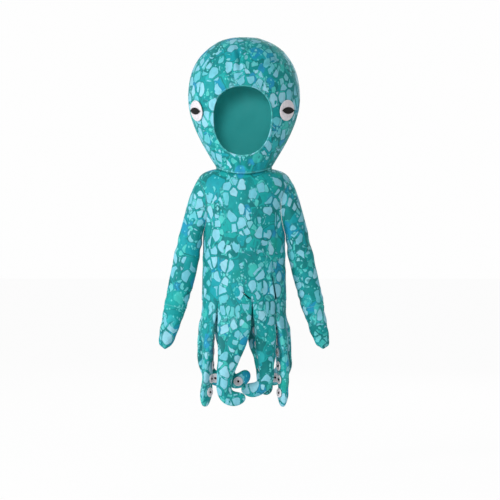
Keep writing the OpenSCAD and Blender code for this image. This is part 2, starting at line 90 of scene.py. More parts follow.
# twist, sway, curl, start of the curl, extra length, flare, shift, and where the twist starts and its run
BENDS = ((0, -13, 122, 0.71, 0.044, 0.006, -0.008, 0.1, 0.6),
         (0, 2, -108, 0.63, 0.026, 0.006, 0.026, 0.1, 0.6),
         (118, 0, 8, 0.70, 0.024, 0.003, 0, 0.1, 0.6),
         (180, -6, 100, 0.62, -0.008, 0.006, 0, 0.1, 0.6),
         (180, -8, -14, 0.60, 0, 0.008, 0, 0.1, 0.6),
         (180, 0, -165, 0.66, 0.020, 0.008, 0, 0.1, 0.6),
         (180, 0, -100, 0.62, -0.006, 0.004, 0.006, 0.1, 0.8),
         (234, 4, 14, 0.62, 0.020, 0.002, 0, 0.2, 0.7))
ARM_L, ARM_T, TIP_W, ROOT_T = 0.280, 0.030, 0.044, 0.014
TIP_START = 0.86                            # share of a tentacle's length where its tip rounds off
SUCKERS, SUCKER_PITCH, SUCKER_R, SUCKER_T = 5, 0.038, 0.0135, 0.003
LAST_SUCKER = 0.86                          # share of the length where the lowest sucker sits
DOT_R, DOT_T = 0.00325, 0.0012
CLOTH = 0.0012                              # thickness of the cloth


# ---------------- small helpers
def mix(a, b, k):
    return a + (b - a) * k


def clamp(x, lo=0.0, hi=1.0):
    return min(hi, max(lo, x))


def ramp(x):
    x = clamp(x)
    return x * x * (3 - 2 * x)


def bump(x, middle, half):
    """1 at the middle, falling smoothly to 0 at half on either side."""
    return 1 - ramp(abs(x - middle) / half)


def power(x, p):
    return math.copysign(abs(x) ** p, x)


def sin_d(a):
    return math.sin(math.radians(a))


def cos_d(a):
    return math.cos(math.radians(a))


def bezier(a, b, c, k):
    return a * (1 - k) ** 2 + b * 2 * k * (1 - k) + c * k * k


def steps(a, b, n):
    return [mix(a, b, i / n) for i in range(n + 1)]


# ---------------- the shapes that the cloth follows
def hood_size(z, widest, off):
    if z >= HOOD_WIDE_Z:
        u = (z - HOOD_WIDE_Z) / (HOOD_TOP - HOOD_WIDE_Z - off)
        return (widest - off) * max(0, 1 - u ** CROWN) ** (1 / CROWN)
    return HEM_R - off + (widest - HEM_R) * cos_d(90 * min(1, (HOOD_WIDE_Z - z) / HOOD_WIDE_Z))


def hood_mid(z):
    return HOOD_LEAN * (1 if z >= HOOD_WIDE_Z else cos_d(90 * min(1, (HOOD_WIDE_Z - z) / HOOD_WIDE_Z)))


def hood_hem(a):
    return -HEM_LIFT - HEM_DIP * max(0, cos_d(a)) ** 2


def outline(t, off=0.0, lift=0.0):
    """The hood's outline from the front, by an angle that runs from the top down the right side."""
    r, side = (360 - t, -1) if t > 180 else (t, 1)
    if r <= 90:
        return (side * (HOOD_W - off) * sin_d(r) ** (2 / CROWN),
                HOOD_WIDE_Z + (HOOD_TOP - HOOD_WIDE_Z - off) * max(0, cos_d(r)) ** (2 / CROWN))
    if r <= HEM_TURN:
        z = mix(HOOD_WIDE_Z, hood_hem(90) + lift, (r - 90) / (HEM_TURN - 90))
        return side * hood_size(z, HOOD_W, off), z
    a = 90 * (180 - r) / (180 - HEM_TURN)
    return side * (HEM_R - off) * sin_d(a), hood_hem(a) + lift


def face_edge(t, grow=0.0):
    return (FACE_X + (FACE_W / 2 + grow) * power(sin_d(t), FACE_SQUARE) * (1 - 0.14 * (1 - cos_d(t)) / 2),
            FACE_Z + (FACE_H / 2 + grow) * power(cos_d(t), FACE_SQUARE))


def hood_point(x, z, off=0.0):
    s = clamp(x / max(1e-6, hood_size(z, HOOD_W, off)), -1, 1)
    return Vector((x, hood_mid(z) - hood_size(z, HOOD_D, off) * math.sqrt(1 - s * s), z))


def hood_front(t, k, off=0.0, lift=0.0, grow=0.0):
    e, o, s = face_edge(t, grow), outline(t, off, lift), sin_d(90 * k)
    return hood_point(mix(e[0], o[0], s), mix(e[1], o[1], s), off)


def hood_at(z, a, off=0.0):
    return Vector((hood_size(z, HOOD_W, off) * sin_d(a),
                   hood_mid(z) - hood_size(z, HOOD_D, off) * cos_d(a), z))


def behind(a):
    return max(0, -cos_d(a)) ** 2


def ahead(a):
    return max(0, cos_d(a)) ** 2


def body_wide(z):
    if z > -ARMPIT_Z:
        return mix(WAIST_W, CHEST_W, ((z + ARMPIT_Z) / (ARMPIT_Z - CURVE_Z)) ** 2)
    return mix(WAIST_W, HIP_W, ((-ARMPIT_Z - z) / (HEM_Z - ARMPIT_Z)) ** 1.5)


def body_point(a, z, wide=None):
    return Vector(((wide or body_wide(z)) * sin_d(a), -BODY_D * cos_d(a), z))


def tunic(a, q):
    """The tunic's outside: q runs 0 to 1 over the shoulder curve, and 1 to 2 down to the hem."""
    end = -mix(CURVE_Z, CURVE_BACK_Z, behind(a))
    if q > 1:
        return body_point(a, mix(end, -HEM_Z, q - 1))
    neck = Vector((NECK_R * sin_d(a), -NECK_R * cos_d(a), -0.002 - SCOOP * ahead(a)))
    pull = Vector((SHOULDER_OUT * sin_d(a), -(BODY_D - 0.006 + 0.006 * behind(a)) * cos_d(a),
                   -0.008 - 0.024 * ahead(a)))
    return bezier(neck, pull, body_point(a, end, CHEST_W), q)


def armhole(f):
    """A point of the right armhole, f running from the shoulder tip round the front."""
    g = 360 - f if f > 180 else f
    return tunic(90 - ARM_A * sin_d(f), mix(TIP_Q, PIT_Q, (1 - cos_d(g)) / 2))


SHOULDER, ARMPIT = tunic(90, TIP_Q), tunic(90, PIT_Q)
CUFF_W, CUFF_D = 0.0324, 0.0238


def sleeve_point(s, f):
    o = bezier(SHOULDER, SHOULDER + Vector((0.039, 0, -0.068)), WRIST + ARM_OUT * CUFF_W, s)
    i = bezier(ARMPIT + Vector((0.0015, 0, -0.002)), ARMPIT + Vector((0.005, 0, -0.077)),
               WRIST - ARM_OUT * CUFF_W, s)
    e = (o + i) / 2 + (o - i) / 2 * cos_d(f)
    e.y -= sin_d(f) * mix(BODY_D * 0.56, CUFF_D, s ** 0.8)
    return e.lerp(armhole(f), max(0, 1 - s / 0.25) ** 2)


def mitt_point(e, f):
    k = clamp(e / MITT_L)
    w = mix(CUFF_W, WRIST_W, ramp(k / 0.15)) * (1 - 0.3 * k) * math.sqrt(max(0, 1 - k ** 8))
    d = mix(CUFF_D, WRIST_D, ramp(k / 0.15)) * (1 - 0.25 * k) * math.sqrt(max(0, 1 - k ** 5))
    p = WRIST + ARM_DOWN * e + ARM_OUT * (0.005 * k + w * cos_d(f))
    p.y -= d * sin_d(f)
    return p


def slit_mid(k):
    return (SLITS[k] + SLITS[k + 1]) / 2


def hem_out(a):
    return Vector((sin_d(a) / HIP_W, -cos_d(a) / BODY_D, 0)).normalized()


def hem_heading(a):
    h = math.degrees(math.atan2(BODY_D * sin_d(a), HIP_W * cos_d(a)))
    return h + 360 if h < -90 or (a > 180 and h < 90) else h


class Tentacle:
    """One tentacle's bent middle line and flattened section, for a share t of its length."""

    def __init__(self, k):
        self.k = k
        self.twist_end, self.sway, self.curl, self.start, longer, self.flare, *rest = BENDS[k]
        self.shift, self.turn, self.turn_run = rest
        self.length = ARM_L + longer
        self.mid = slit_mid(k)
        self.root = (body_point(SLITS[k + 1], -HEM_Z) - body_point(SLITS[k], -HEM_Z)).length
        self.n = 112
        p = body_point(self.mid, -HEM_Z) - hem_out(self.mid) * ROOT_T / 2
        self.path = []
        for i in range(self.n + 1):
            lean = ramp(i / self.n / 0.7)
            self.path.append(p + (hem_out(self.mid) * self.flare + Vector((0, self.shift, 0))) * lean)
            p = p + self.travel((i + 0.5) / self.n) * self.length / self.n

    def twist(self, t):
        return mix(hem_heading(self.mid), self.twist_end, ramp((t - self.turn) / self.turn_run))

    def bend(self, t):
        return (self.sway * sin_d(180 * clamp((t - 0.2) / 0.6))
                + self.curl * ramp((t - self.start) / (1 - self.start)))

    def heading(self, t):
        return Vector((cos_d(self.twist(t)), sin_d(self.twist(t)), 0))

    def travel(self, t):
        return self.heading(t) * sin_d(self.bend(t)) - Vector((0, 0, 1)) * cos_d(self.bend(t))

    def across(self, t):
        return self.heading(t) * cos_d(self.bend(t)) + Vector((0, 0, 1)) * sin_d(self.bend(t))

    def facing(self, t):
        return Vector((sin_d(self.twist(t)), -cos_d(self.twist(t)), 0))

    def along(self, t):
        i = min(self.n - 1, int(t * self.n))
        return self.path[i].lerp(self.path[i + 1], t * self.n - i)

    def tip(self, t):
        return math.sqrt(max(0, 1 - ((t - TIP_START) / 0.14) ** 2.6)) if t > TIP_START else 1

    def width(self, t):
        return mix(self.root * 0.96, TIP_W, ramp((t - 0.12) / 0.62)) * self.tip(t)

    def thick(self, t):
        return mix(ROOT_T, ARM_T, ramp(t / 0.4)) * (1 - 0.2 * ramp((t - 0.5) / 0.4)) * self.tip(t)

    def point(self, t, f):
        c = self.along(t)
        half = (SLITS[self.k + 1] - SLITS[self.k]) / 2 - 0.15
        a = self.mid + half * power(cos_d(f), 0.8)
        depth = ROOT_T / 2 * power(sin_d(f), 0.8) - ROOT_T / 2
        arc = body_point(a, -HEM_Z) + hem_out(a) * depth + c - self.path[0]
        flat = c + self.across(t) * cos_d(f) * self.width(t) / 2
        flat += self.facing(t) * sin_d(f) * self.thick(t) / 2
        return arc.lerp(flat, ramp(t / 0.32))

    def inner_face(self, t):
        return self.along(t) - self.facing(t) * self.thick(t) / 2


# ---------------- meshes
def grid_mesh(name, rows, closed=False):
    """A sheet through rows of points; closed joins each row's end to its start."""
    n = len(rows[0])
    mesh = bpy.data.meshes.new(name)
    faces = []
    for i in range(len(rows) - 1):
        for j in range(n if closed else n - 1):
            a, b = i * n + j, i * n + (j + 1) % n
            faces.append((a, b, b + n, a + n))
    mesh.from_pydata([p for row in rows for p in row], [], faces)
    work = bmesh.new()
    work.from_mesh(mesh)
    bmesh.ops.remove_doubles(work, verts=work.verts, dist=0.00002)
    work.to_mesh(mesh)
    work.free()
    piece = bpy.data.objects.new(name, mesh)
    bpy.context.scene.collection.objects.link(piece)
    return piece


def only(piece):
    bpy.ops.object.select_all(action="DESELECT")
    piece.select_set(True)
    bpy.context.view_layer.objects.active = piece


def face_out(piece, centre=None):
    """Turns the faces outwards; an open sheet is turned away from a centre."""
    work = bmesh.new()
    work.from_mesh(piece.data)
    bmesh.ops.recalc_face_normals(work, faces=work.faces)
    if centre is not None:
        work.faces.ensure_lookup_table()
        score = sum((f.calc_center_median() - centre).dot(f.normal) * f.calc_area() for f in work.faces)
        if score < 0:
            bmesh.ops.reverse_faces(work, faces=work.faces)
    work.to_mesh(piece.data)
    work.free()


def push(piece, amount):
    """Moves each vertex along its normal by amount(place)."""
    moves = [v.normal * amount(v.co) for v in piece.data.vertices]
    for v, m in zip(piece.data.vertices, moves):
        v.co += m


def apply(piece, kind, **values):
    only(piece)
    modifier = piece.modifiers.new(kind, kind)
    for key, value in values.items():
        setattr(modifier, key, value)
    bpy.ops.object.modifier_apply(modifier=modifier.name)


def keep_rest(piece, edge=None):
    """Stores each point's place, which the print reads, and its distance to the nearest seam."""
    mesh = piece.data
    for name in ("rest", "seam"):
        if mesh.attributes.get(name):
            mesh.attributes.remove(mesh.attributes[name])
    rest = mesh.attributes.new("rest", "FLOAT_VECTOR", "POINT")
    rest.data.foreach_set("vector", [c for v in mesh.vertices for c in v.co])
    seam = mesh.attributes.new("seam", "FLOAT", "POINT")
    seam.data.foreach_set("value", [edge(v.co) if edge else 1.0 for v in mesh.vertices])


def finish_piece(piece, body, nodes, material):
    for polygon in piece.data.polygons:
        polygon.use_smooth = True
    piece.data.set_sharp_from_angle(angle=math.radians(58))
    piece.data.materials.clear()
    piece.data.materials.append(material)
    if nodes:
        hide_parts(*nodes)
    if isinstance(body, str):
        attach(piece, body)
    else:
        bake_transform(piece)


def distance_to(line):
    """A function that gives the distance from a point to a line of points."""
    dense = [p.lerp(q, i / 4) for p, q in zip(line, line[1:]) for i in range(4)]
    tree = KDTree(len(dense))
    for i, p in enumerate(dense):
        tree.insert(p, i)
    tree.balance()
    return lambda p: tree.find(p)[2]


# ---------------- materials
def colour(code):
    parts = [int(code[i:i + 2], 16) / 255 for i in (0, 2, 4)]
    return [c / 12.92 if c <= 0.04045 else ((c + 0.055) / 1.055) ** 2.4 for c in parts] + [1]


class Nodes:
    """Short calls for building a node tree."""

    def __init__(self, tree):
        self.tree = tree

    def add(self, kind, values=None, **settings):
        node = self.tree.nodes.new(kind)
        for key, value in settings.items():
            setattr(node, key, value)
        for key, value in (values or {}).items():
            if isinstance(value, bpy.types.NodeSocket):
                self.tree.links.new(value, node.inputs[key])
            else:
                node.inputs[key].default_value = value
        return node

    def math(self, operation, a, b=0.0):
        return self.add("ShaderNodeMath", {0: a, 1: b}, operation=operation).outputs[0]

    def between(self, value, low, high):
        """0 below low, 1 above high, smooth between."""
        node = self.add("ShaderNodeMapRange", {"Value": value, "From Min": low, "From Max": high},
                        interpolation_type="SMOOTHSTEP")
        return node.outputs["Result"]

    def blend(self, share, a, b):
        node = self.add("ShaderNodeMix", data_type="RGBA")
        for place, value in ((0, share), (6, a), (7, b)):
            if isinstance(value, bpy.types.NodeSocket):
                self.tree.links.new(value, node.inputs[place])
            else:
                node.inputs[place].default_value = value
        return node.outputs[2]

    def choose(self, value, stops):
        """A stepped ramp: stops are (place, colour code)."""
        node = self.add("ShaderNodeValToRGB", {"Fac": value})
        node.color_ramp.interpolation = "CONSTANT"
        elements = node.color_ramp.elements
        elements[0].position, elements[0].color = stops[0][0], colour(stops[0][1])
        elements[1].position, elements[1].color = stops[1][0], colour(stops[1][1])
        for place, code in stops[2:]:
            elements.new(place).color = colour(code)
        return node.outputs["Color"]

    def cells(self, vector, size, feature="F1", randomness=1.0):
        sockets = {"Vector": vector, "Scale": 1 / size, "Randomness": randomness}
        return self.add("ShaderNodeTexVoronoi", sockets,
                        feature=feature)

    def noise(self, vector, size, detail=2.0):
        node = self.add("ShaderNodeTexNoise", {"Vector": vector, "Scale": 1 / size, "Detail": detail})
        return node.outputs["Fac"]


def new_group(name, inputs, outputs):
    tree = bpy.data.node_groups.new(name, "ShaderNodeTree")
    for label, kind in inputs:
        tree.interface.new_socket(label, in_out="INPUT", socket_type=kind)
    for label, kind in outputs:
        tree.interface.new_socket(label, in_out="OUTPUT", socket_type=kind)
    nodes = Nodes(tree)
    return tree, nodes, nodes.add("NodeGroupInput"), nodes.add("NodeGroupOutput")


def pebble_group():
    """The pebble print: soft patches, big discs, light pebbles with outlines, and small dots."""
    tree, n, source, result = new_group(
        "pebble_print", [("Vector", "NodeSocketVector")], [("Color", "NodeSocketColor")])
    wobble = n.add("ShaderNodeTexNoise", {"Vector": source.outputs[0], "Scale": 45.0, "Detail": 1.0})

    def vectors(operation, a, b):
        return n.add("ShaderNodeVectorMath", {0: a, 1: b}, operation=operation).outputs[0]

    shift = vectors("SUBTRACT", wobble.outputs["Color"], (0.5, 0.5, 0.5))
    bent = vectors("ADD", source.outputs[0], vectors("MULTIPLY", shift, (0.009, 0.009, 0.009)))
    turned = n.add("ShaderNodeMapping", {"Vector": bent, "Rotation": (0, 0.6, 0), "Scale": (1.15, 1.0, 0.85)})
    place = turned.outputs[0]

    patch = n.cells(place, 0.046, "SMOOTH_F1")
    patch.inputs["Smoothness"].default_value = 0.35
    patch_pick = n.add("ShaderNodeSeparateColor", {"Color": patch.outputs["Color"]}).outputs[0]
    ground = n.choose(patch_pick, [(0, "0A9094"), (0.24, "058283"), (0.44, "0E9C9B"), (0.60, "037374"),
                                   (0.76, "0B96A2"), (0.90, "158CB2")])
    wash = n.between(n.noise(place, 0.035, 3), 0.3, 0.72)
    ground = n.blend(n.math("MULTIPLY", wash, 0.28), ground, colour("14A6A3"))

    disc = n.cells(place, 0.040)
    disc_pick = n.add("ShaderNodeSeparateColor", {"Color": disc.outputs["Color"]})
    disc_colour = n.choose(disc_pick.outputs[0], [(0, "3DBDB6"), (0.26, "159F93"), (0.48, "2390BC"),
                                                  (0.66, "2BAFB4"), (0.84, "0E8F8A")])
    disc_mask = n.math("MULTIPLY", n.between(disc.outputs["Distance"], 0.47, 0.38),
                       n.between(disc_pick.outputs[1], 0.40, 0.42))
    base = n.blend(n.math("MULTIPLY", disc_mask, 0.85), ground, disc_colour)

    def pebbles(under, size, cluster_size, low, high, edge, strength, stops):
        edges = n.cells(place, size, "DISTANCE_TO_EDGE")
        cell = n.cells(place, size)
        pick = n.add("ShaderNodeSeparateColor", {"Color": cell.outputs["Color"]})
        cluster = n.between(n.noise(place, cluster_size, 1), low, high)
        chosen = n.math("GREATER_THAN", cluster, pick.outputs[1])
        near = n.between(cell.outputs["Distance"], 0.64, 0.56)
        whole = n.math("MULTIPLY", n.between(edges.outputs["Distance"], edge, edge + 0.035), near)
        inside = n.math("MULTIPLY", whole, chosen)
        ring = n.math("MULTIPLY", n.between(edges.outputs["Distance"], edge - 0.05, edge), chosen)
        dark = n.blend(n.math("MULTIPLY", ring, 0.62), under, colour("0E7076"))
        face = n.choose(pick.outputs[0], stops)
        face = n.blend(n.math("MULTIPLY", n.noise(place, size * 0.35, 2), 0.30), face, colour("5CC3CB"))
        return n.blend(n.math("MULTIPLY", inside, strength), dark, face), inside

    # layers of pebbles: cell size, cluster size and its range, outline, strength and colours
    layers = ((0.0105, 0.045, 0.48, 0.80, 0.09, 0.80, [(0, "5ED0CD"), (0.4, "45C0BE"), (0.7, "8AD8E0")]),
              (0.0195, 0.060, 0.34, 0.78, 0.08, 0.88, [(0, "4CC6BE"), (0.3, "63CACD"), (0.55, "33B4AC"),
                                                       (0.75, "7CCCD8")]),
              (0.0290, 0.080, 0.29, 0.68, 0.085, 0.95, [(0, "84C8DC"), (0.42, "70BFD2"), (0.68, "96D0E2"),
                                                        (0.86, "5FC0CC")]))
    for layer in layers:
        base, covered = pebbles(base, *layer)
    dots = n.cells(place, 0.0085)
    dot_pick = n.add("ShaderNodeSeparateColor", {"Color": dots.outputs["Color"]}).outputs[0]
    dot = n.math("MULTIPLY", n.between(dots.outputs["Distance"], 0.34, 0.26), n.between(dot_pick, 0.76, 0.80))
    dot = n.math("MULTIPLY", dot, n.math("SUBTRACT", 1.0, covered))
    base = n.blend(n.math("MULTIPLY", dot, 0.75), base, colour("66D2D2"))
    shade = n.add("ShaderNodeMapRange", {"Value": n.noise(place, 0.012, 4), "From Min": 0.3, "From Max": 0.7,
                                         "To Min": 0.90, "To Max": 1.08}).outputs["Result"]
    final = n.add("ShaderNodeVectorMath", {0: base, "Scale": shade}, operation="SCALE").outputs[0]
    tree.links.new(final, result.inputs["Color"])
    return tree


def knit_group():
    """Fine knitted loops, and a groove and a rolled edge along a seam."""
    tree, n, source, result = new_group(
        "knit", [("Vector", "NodeSocketVector"), ("Seam", "NodeSocketFloat")],
        [("Height", "NodeSocketFloat"), ("Edge", "NodeSocketFloat"), ("Roughness", "NodeSocketFloat")])
    loops = n.cells(source.outputs["Vector"], 0.0016, "F1", 0.35).outputs["Distance"]
    fuzz = n.noise(source.outputs["Vector"], 0.0009, 2)
    height = n.math("ADD", n.math("MULTIPLY", loops, 0.6), n.math("MULTIPLY", fuzz, 0.4))
    groove = n.math("SUBTRACT", n.between(source.outputs["Seam"], 0.0042, 0.0054),
                    n.between(source.outputs["Seam"], 0.0058, 0.0072))
    rolled = n.between(source.outputs["Seam"], 0.0022, 0.0)
    height = n.math("SUBTRACT", height, n.math("MULTIPLY", groove, 1.4))
    height = n.math("ADD", height, n.math("MULTIPLY", rolled, 1.2))
    tree.links.new(height, result.inputs["Height"])
    tree.links.new(rolled, result.inputs["Edge"])
    rough = n.add("ShaderNodeMapRange", {"Value": n.noise(source.outputs["Vector"], 0.02, 3), "From Min": 0.3,
                                         "From Max": 0.7, "To Min": 0.52, "To Max": 0.68}).outputs["Result"]
    tree.links.new(rough, result.inputs["Roughness"])
    return tree


PEBBLES, KNIT = pebble_group(), knit_group()


def surface(name, sheen=0.0, sheen_roughness=0.5):
    material = bpy.data.materials.new(name)
    material.use_nodes = True
    n = Nodes(material.node_tree)
    shader = material.node_tree.nodes["Principled BSDF"]
    shader.inputs["Sheen Weight"].default_value = sheen
    shader.inputs["Sheen Roughness"].default_value = sheen_roughness
    shader.inputs["Specular IOR Level"].default_value = 0.2
    return material, n, shader


def group(n, tree, values):
    return n.add("ShaderNodeGroup", values, node_tree=tree)


def print_cloth():
    material, n, shader = surface("pebble_cloth", 0.02, 0.45)
    link = material.node_tree.links.new
    rest = n.add("ShaderNodeAttribute", attribute_name="rest").outputs["Vector"]
    seam = n.add("ShaderNodeAttribute", attribute_name="seam").outputs["Fac"]
    pebbles = group(n, PEBBLES, {"Vector": rest})
    knit = group(n, KNIT, {"Vector": rest, "Seam": seam})
    lit = n.blend(n.math("MULTIPLY", knit.outputs["Edge"], 0.28), pebbles.outputs["Color"], colour("9ADBDD"))
    link(lit, shader.inputs["Base Color"])
    link(knit.outputs["Roughness"], shader.inputs["Roughness"])
    relief = n.add("ShaderNodeBump", {"Height": knit.outputs["Height"], "Strength": 0.35, "Distance": 0.0006})
    link(relief.outputs["Normal"], shader.inputs["Normal"])
    return material


def plain_cloth(name, code, other, fine, strength, sheen, position="rest"):
    material, n, shader = surface(name, sheen)
    link = material.node_tree.links.new
    if position == "rest":
        place = n.add("ShaderNodeAttribute", attribute_name="rest").outputs["Vector"]
    else:
        place = n.add("ShaderNodeTexCoord").outputs["Object"]
    knit = group(n, KNIT, {"Vector": place, "Seam": 1.0})
    patches = n.between(n.noise(place, fine, 3), 0.3, 0.7)
    link(n.blend(patches, colour(code), colour(other)), shader.inputs["Base Color"])
    link(knit.outputs["Roughness"], shader.inputs["Roughness"])
    relief = n.add("ShaderNodeBump", {"Height": knit.outputs["Height"], "Strength": strength,
                                      "Distance": 0.0006})
    link(relief.outputs["Normal"], shader.inputs["Normal"])
    return material


def metal_paint():
    material, n, shader = surface("painted_zip_metal")
    link = material.node_tree.links.new
    place = n.add("ShaderNodeTexCoord").outputs["Object"]
    worn = n.between(n.noise(place, 0.003, 4), 0.55, 0.72)
    link(n.blend(worn, colour("1F7F80"), colour("2E9A98")), shader.inputs["Base Color"])
    link(n.math("ADD", n.math("MULTIPLY", worn, 0.25), 0.3), shader.inputs["Roughness"])
    shader.inputs["Metallic"].default_value = 0.3
    return material


def zip_plastic():
    material, n, shader = surface("zip_moulding")
    link = material.node_tree.links.new
    place = n.add("ShaderNodeTexCoord").outputs["Object"]
    grain = n.noise(place, 0.0008, 3)
    link(n.blend(grain, colour("1B8C8C"), colour("26A09C")), shader.inputs["Base Color"])
    shader.inputs["Roughness"].default_value = 0.42
    relief = n.add("ShaderNodeBump", {"Height": grain, "Strength": 0.1, "Distance": 0.0004})
    link(relief.outputs["Normal"], shader.inputs["Normal"])
    return material


PRINT = print_cloth()
# the lining's teal is painted lighter than the cloth's own colour: painted light that makes up for the shade
# inside the hood's cavity; the hanger tape shares this material
LIGHTENED_LINING = plain_cloth("lining_knit_painted_light", "48CCCB", "4DD0CF", 0.05, 0.25, 0.05)
PLUSH = plain_cloth("white_plush", "E4DFE3", "D6CFD6", 0.006, 0.7, 0.15)
FELT = plain_cloth("black_felt", "040405", "0A0A0B", 0.002, 0.6, 0.0)
TAPE = plain_cloth("zip_tape_weave", "1A8886", "208F8D", 0.004, 0.5, 0.05, "object")
ZIP_METAL, ZIP_PLASTIC = metal_paint(), zip_plastic()


# ---------------- hood
DART_X, DART_TOP, DART_END = -0.019, 0.345, 0.240       # the tuck on the forehead
SLANT_X, SLANT_Z, SLANT_RISE = 0.051, 0.274, 0.72       # the slanting seam at the upper right
LINING_IN, NAPE_IN, LINING_LIFT = 0.0035, 0.0165, 0.012
FOLDS_ABOVE = 0.21                                      # the lining gives way to folds above this height
HOOD_CENTRE = Vector((0, 0.015, 0.16))


def soft_waves(p, size, height):
    return height * noise.noise(p / size) + height * 0.4 * noise.noise(p / size * 2.3 + Vector((7, 3, 1)))


def hood_folds(p):
    """Small folds of the hood: the forehead tuck, the gathers at the hem and soft waves."""
    d = soft_waves(p, 0.07, 0.0022)
    if p.y < 0:
        down = clamp((DART_TOP - p.z) / (DART_TOP - DART_END))
        live = ramp(down * 6) * (1 - ramp((down - 0.55) / 0.45))
        dx = p.x - DART_X - 0.012 * down
        d -= 0.0072 * live * math.exp(-(dx / 0.0055) ** 2)
        d += 0.0038 * live * math.exp(-((dx - 0.011) / 0.007) ** 2)
        d += 0.003 * live * math.exp(-((dx + 0.011) / 0.008) ** 2)
        across = p.z - SLANT_Z - (p.x - SLANT_X) * SLANT_RISE
        reach = bump(p.x, 0.084, 0.046)
        d -= 0.0058 * reach * math.exp(-(across / 0.0048) ** 2)
        d += 0.0026 * reach * math.exp(-((across - 0.012) / 0.007) ** 2)
    turn = math.atan2(p.x, -p.y)
    near_hem = 1 - ramp((p.z + 0.015) / 0.075)
    d += 0.0016 * near_hem * math.sin(turn * 23 + 2 * noise.noise(p * 30))
    return d


SIDE_SEAM = [Vector((outline(t)[0], hood_mid(outline(t)[1]), outline(t)[1])) for t in steps(0, HEM_TURN, 120)]
SIDE_SEAM_L = [Vector((-p.x, p.y, p.z)) for p in SIDE_SEAM]
HOOD_HEM = [hood_front(t, 1) for t in steps(HEM_TURN, 360 - HEM_TURN, 90)]
HOOD_HEM += [hood_at(outline(HEM_TURN)[1], a) for a in steps(270, 90, 90)]
FACE_RIM = [hood_front(t, 0) for t in steps(0, 360, 160)]


def front_angles(n):
    """Outline angles, closer together along the hem."""
    third = n // 3
    return (steps(0, HEM_TURN, third)[:-1] + steps(HEM_TURN, 360 - HEM_TURN, third)[:-1]
            + steps(360 - HEM_TURN, 360, third)[:-1])


def make_hood():
    angles = front_angles(216)
    rows = [[hood_front(t, k) for t in angles] for k in steps(0, 1, 44)]
    front = grid_mesh("hood_front_cloth", rows, closed=True)
    back = grid_mesh("hood_back_cloth", [[hood_at(outline(t)[1], a) for a in steps(90, 270, 90)]
                                         for t in steps(0, HEM_TURN, 90)])
    near = [distance_to(line) for line in (SIDE_SEAM, SIDE_SEAM_L, HOOD_HEM, FACE_RIM)]

    def seam(p):
        return min(f(p) for f in near)

    for piece, node in ((front, "hood_front_panel"), (back, "hood_back_panel")):
        face_out(piece, HOOD_CENTRE)
        push(piece, lambda p: hood_folds(p) * ramp(seam(p) / 0.02) - 0.0016 * (1 - ramp(seam(p) / 0.006)))
        apply(piece, "SOLIDIFY", thickness=CLOTH, offset=-1)
        keep_rest(piece, seam)
        finish_piece(piece, "hood", [node], PRINT)


def make_hood_lining():
    rows = [[hood_front(t, k, LINING_IN, LINING_LIFT, 0.0015) for t in front_angles(216)]
            for k in steps(0, 1, 44)]
    front = grid_mesh("hood_face_lining", rows, closed=True)
    rows = [[hood_at(outline(t, 0, LINING_LIFT)[1], a, NAPE_IN) for a in steps(90.4, 269.6, 60)]
            for t in steps(2, HEM_TURN, 60)]
    back = grid_mesh("hood_nape_lining", rows)
    for piece, nodes in ((front, ["hood_front_lining"]), (back, ["hood_back_lining", "hood_crown_pad"])):
        face_out(piece, HOOD_CENTRE)
        push(piece, lambda p: soft_waves(p, 0.09, 0.0015)
             + min(0, 1.25 * hood_folds(p)) * (p.z > FOLDS_ABOVE))
        apply(piece, "SOLIDIFY", thickness=0.001, offset=-1)
        keep_rest(piece)
        finish_piece(piece, "hood", nodes, LIGHTENED_LINING)


def tube_along(name, line, radius, closed, flatten=1.0, sides=10, across=None):
    """A round strip along a line of points; flatten squeezes it along its second side."""
    rows = []
    count = len(line)
    for i, p in enumerate(line):
        ahead_point = line[(i + 1) % count] if closed else line[min(count - 1, i + 1)]
        behind_point = line[i - 1] if closed else line[max(0, i - 1)]
        travel = (ahead_point - behind_point).normalized()
        side = (across(p) if across else Vector((0, -1, 0)))
        side = (side - travel * side.dot(travel)).normalized()
        other = travel.cross(side)
        rows.append([p + side * radius * flatten * cos_d(a) + other * radius * sin_d(a)
                     for a in steps(0, 360, sides)[:-1]])
    if closed:
        rows.append(rows[0])
    piece = grid_mesh(name, rows, closed=True)
    if not closed:
        close_ends(piece)
    face_out(piece)
    return piece


def close_ends(piece):
    """Fills a strip's two open ends."""
    work = bmesh.new()
    work.from_mesh(piece.data)
    bmesh.ops.holes_fill(work, edges=[e for e in work.edges if e.is_boundary], sides=0)
    work.to_mesh(piece.data)
    work.free()


def make_hood_trim():
    rim = [hood_front(t, 0) for t in steps(0, 360, 180)[:-1]]
    rim = [p + Vector((0, 0.0012, 0)) - Vector((p.x - FACE_X, 0, p.z - FACE_Z)).normalized() * 0.0016
           for p in rim]
    binding = tube_along("face_opening_edge", rim, 0.0024, True, flatten=1.25, sides=14)
    keep_rest(binding, lambda p: 0.0012)
    finish_piece(binding, "hood", ["face_opening_binding"], PRINT)
    hem = [Vector((p.x * 0.995, p.y * 0.995, p.z + 0.002)) for p in
           [hood_front(t, 1) for t in steps(HEM_TURN, 360 - HEM_TURN, 60)[:-1]]
           + [hood_at(outline(HEM_TURN)[1], a) for a in steps(270, 90, 60)[:-1]]]
    roll = tube_along("hood_hem_roll", hem, 0.0028, True, flatten=0.9, sides=12,
                      across=lambda p: Vector((p.x, p.y, 0)).normalized())
    keep_rest(roll, lambda p: 0.0012)
    finish_piece(roll, "hood", ["hood_hem_elastic"], PRINT)


